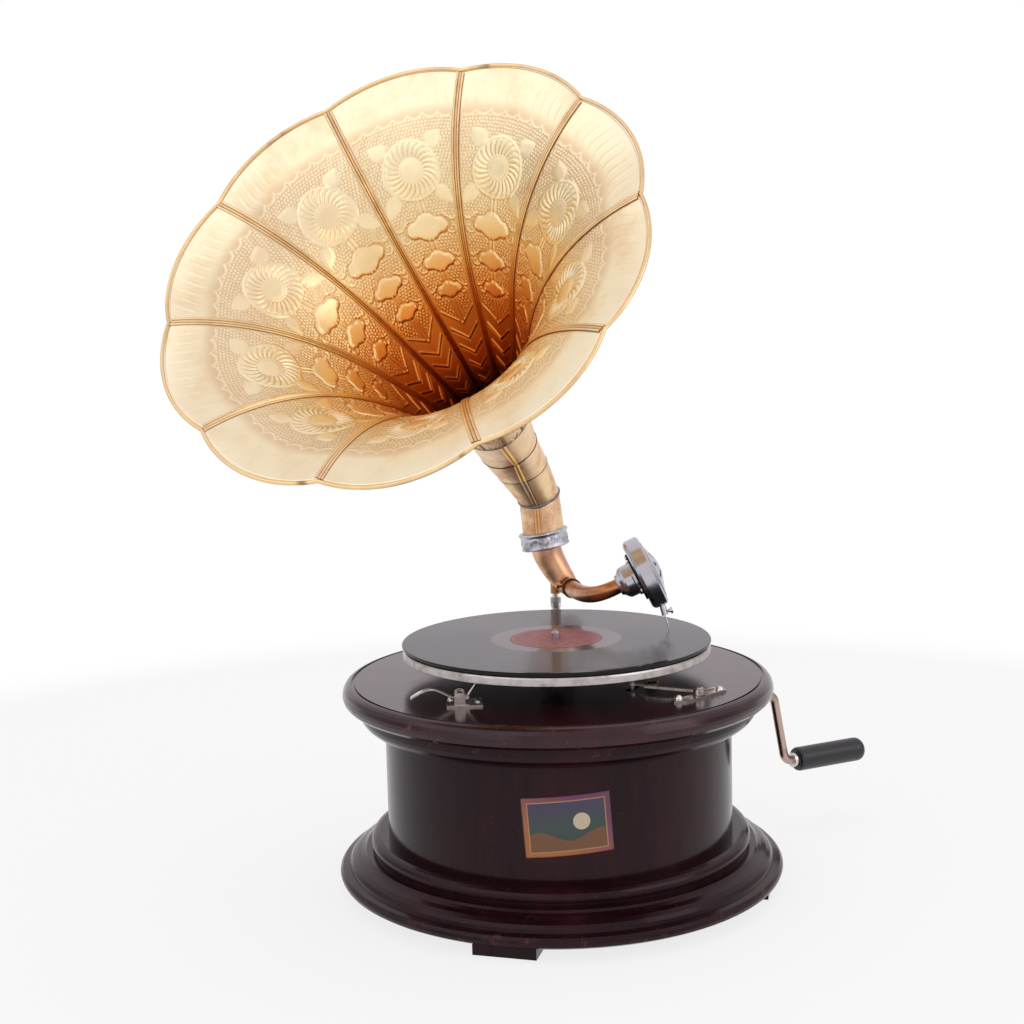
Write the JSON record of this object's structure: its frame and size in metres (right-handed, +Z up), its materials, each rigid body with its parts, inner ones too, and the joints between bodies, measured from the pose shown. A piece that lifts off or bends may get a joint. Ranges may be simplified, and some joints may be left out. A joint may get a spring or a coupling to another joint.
{
  "type": "gramophone",
  "caption": "Wind-up gramophone: round dark wooden cabinet, turntable with record, side crank, swinging arm with sound box, and large fluted brass horn",
  "frame": {"origin": "middle of the whole object's bounding box, on the floor under the feet", "axes": "+Z up; -Y toward the viewer of the picture, where the picture place and the two levers are; +X to the crank's side"},
  "size_m": [0.5702, 0.403, 0.6538],
  "materials": {
    "cabinet_wood": "dark burgundy gloss lacquer, worn at the edges",
    "nickel_trim": "aged nickel plate",
    "bright_trim": "bright plate",
    "gear_brass": "machined brass",
    "aged_bolt": "tarnished",
    "motor_steel": "machined steel",
    "spring_steel": "spring steel",
    "platter_nickel": "brushed nickel with rust specks",
    "mat_felt": "dark felt",
    "record_shellac": "fine grooves, satin sheen",
    "label_paper": "dusty red paper",
    "grip_black": "matte black",
    "arm_copper": "copper-toned casting",
    "collar_metal": "rough cast silver",
    "dark_joint": "dark packing ring",
    "box_chrome": "bright chrome",
    "gasket_rubber": "black rubber",
    "diaphragm_mica": "translucent sheet",
    "needle_steel": "polished point",
    "horn_brass": "embossed brass, pale at the rim and copper-brown in the throat",
    "solder_grey": "blue-grey soft solder"
  },
  "bodies": {
    "cabinet": {"feet": "cabinet_wood", "base_moulding": "cabinet_wood", "bottom_board": "cabinet_wood", "drum_wall": "cabinet_wood", "cornice": "cabinet_wood", "top_board": "cabinet_wood", "crank_escutcheon": "nickel_trim", "spindle_bushing": "gear_brass", "arm_bracket": "nickel_trim", "brake_plate": "nickel_trim", "brake_screws": "bright_trim", "speed_plate": "nickel_trim", "speed_screws": "bright_trim", "motor_bolts": "aged_bolt", "motor_top_plate": "motor_steel", "motor_bottom_plate": "motor_steel", "motor_pillars": "motor_steel"},
    "turntable": {"spindle": "motor_steel", "platter": "platter_nickel", "platter_rim": "platter_nickel", "felt_mat": "mat_felt", "record": "record_shellac", "record_label": "label_paper"},
    "intermediate": {"intermediate_wheel": "gear_brass"},
    "barrel": {"spring_barrel": "gear_brass", "mainspring": "spring_steel"},
    "arbor": {"winding_arbor": "motor_steel"},
    "governor": {"governor_shaft": "motor_steel", "governor_balls": "gear_brass"},
    "crank": {"winding_shaft": "motor_steel", "crank_rod": "nickel_trim", "crank_ferrule": "bright_trim"},
    "grip": {"crank_grip": "grip_black"},
    "arm": {"support_rod": "nickel_trim", "rod_collar": "motor_steel", "swan_neck": "arm_copper", "swan_socket": "arm_copper", "rod_boss": "arm_copper", "collar_ring": "collar_metal", "joint_screw": "arm_copper"},
    "sound_box": {"gooseneck": "arm_copper", "joint_ring": "dark_joint", "connector_cup": "box_chrome", "box_gasket": "gasket_rubber", "gasket_screws": "bright_trim", "box_case": "box_chrome", "diaphragm": "diaphragm_mica", "box_cover": "box_chrome"},
    "stylus": {"stylus_bar": "box_chrome", "needle": "needle_steel"},
    "needle_clamp": {"needle_screw": "bright_trim"},
    "horn": {"horn_bell": "horn_brass", "seam_strips": "horn_brass", "rim_wire": "horn_brass", "horn_neck": "horn_brass", "solder_rings": "solder_grey"},
    "brake": {"brake_lever": "nickel_trim", "brake_spring": "spring_steel"},
    "speed": {"speed_lever": "nickel_trim", "speed_rod": "motor_steel"}
  },
  "joints": [
    {"name": "turntable_spin", "type": "hinge", "parent": "cabinet", "child": "turntable", "pos_m": [0.00832, 0.02046, 0.19], "axis": [0, 0, -1], "continuous": true},
    {"name": "intermediate_spin", "type": "hinge", "parent": "cabinet", "child": "intermediate", "pos_m": [0.04173, 0.03748, 0.108], "axis": [0, 0, -1], "continuous": true},
    {"name": "barrel_spin", "type": "hinge", "parent": "cabinet", "child": "barrel", "pos_m": [0.08317, 0.0586, 0.084], "axis": [0, 0, -1], "continuous": true},
    {"name": "governor_spin", "type": "hinge", "parent": "cabinet", "child": "governor", "pos_m": [0.03412, 0.00239, 0.09], "axis": [0, 0, -1], "continuous": true},
    {"name": "crank_turn", "type": "hinge", "parent": "cabinet", "child": "crank", "pos_m": [0.15088, 0.0931, 0.124], "axis": [0.891, 0.454, 0], "continuous": true},
    {"name": "arbor_spin", "type": "hinge", "parent": "cabinet", "child": "arbor", "pos_m": [0.08317, 0.0586, 0.13], "axis": [0, 0, 1], "continuous": true},
    {"name": "grip_spin", "type": "hinge", "parent": "crank", "child": "grip", "pos_m": [0.25066, 0.14394, 0.0615], "axis": [0.891, 0.454, 0], "continuous": true},
    {"name": "arm_swing", "type": "hinge", "parent": "cabinet", "child": "arm", "pos_m": [0.00832, 0.16346, 0.201], "axis": [0, 0, 1], "range_deg": [-20, 18]},
    {"name": "gooseneck_lift", "type": "hinge", "parent": "arm", "child": "sound_box", "pos_m": [0.02302, 0.13846, 0.218], "axis": [0.1531, -0.9863, 0.0618], "range_deg": [0, 90]},
    {"name": "stylus_rock", "type": "hinge", "parent": "sound_box", "child": "stylus", "pos_m": [0.09617, 0.04993, 0.22029], "axis": [-0.0349, 0.9994, 0], "range_deg": [-1, 1], "stiffness_Nm_per_rad": 0.2},
    {"name": "needle_screw_turn", "type": "hinge", "parent": "stylus", "child": "needle_clamp", "pos_m": [0.0983, 0.04877, 0.21225], "axis": [0.9667, 0.0059, 0.2559], "range_deg": [0, 270]},
    {"name": "horn_turn", "type": "hinge", "parent": "arm", "child": "horn", "pos_m": [-0.00068, 0.16346, 0.2595], "axis": [-0.1771, 0, 0.9842], "range_deg": [-35, 20]},
    {"name": "brake_turn", "type": "hinge", "parent": "cabinet", "child": "brake", "pos_m": [-0.06468, -0.07654, 0.176], "axis": [-0.0872, 0.9962, 0], "range_deg": [0, 20]},
    {"name": "speed_turn", "type": "hinge", "parent": "cabinet", "child": "speed", "pos_m": [0.11562, -0.06654, 0.172], "axis": [0, 0, 1], "range_deg": [-6, 6]}
  ],
  "couplings": [
    {"joint": "intermediate_spin", "follows": "turntable_spin", "ratio": -0.25},
    {"joint": "barrel_spin", "follows": "turntable_spin", "ratio": 0.048077},
    {"joint": "governor_spin", "follows": "turntable_spin", "ratio": -6},
    {"joint": "arbor_spin", "follows": "crank_turn", "ratio": -0.5}
  ]
}
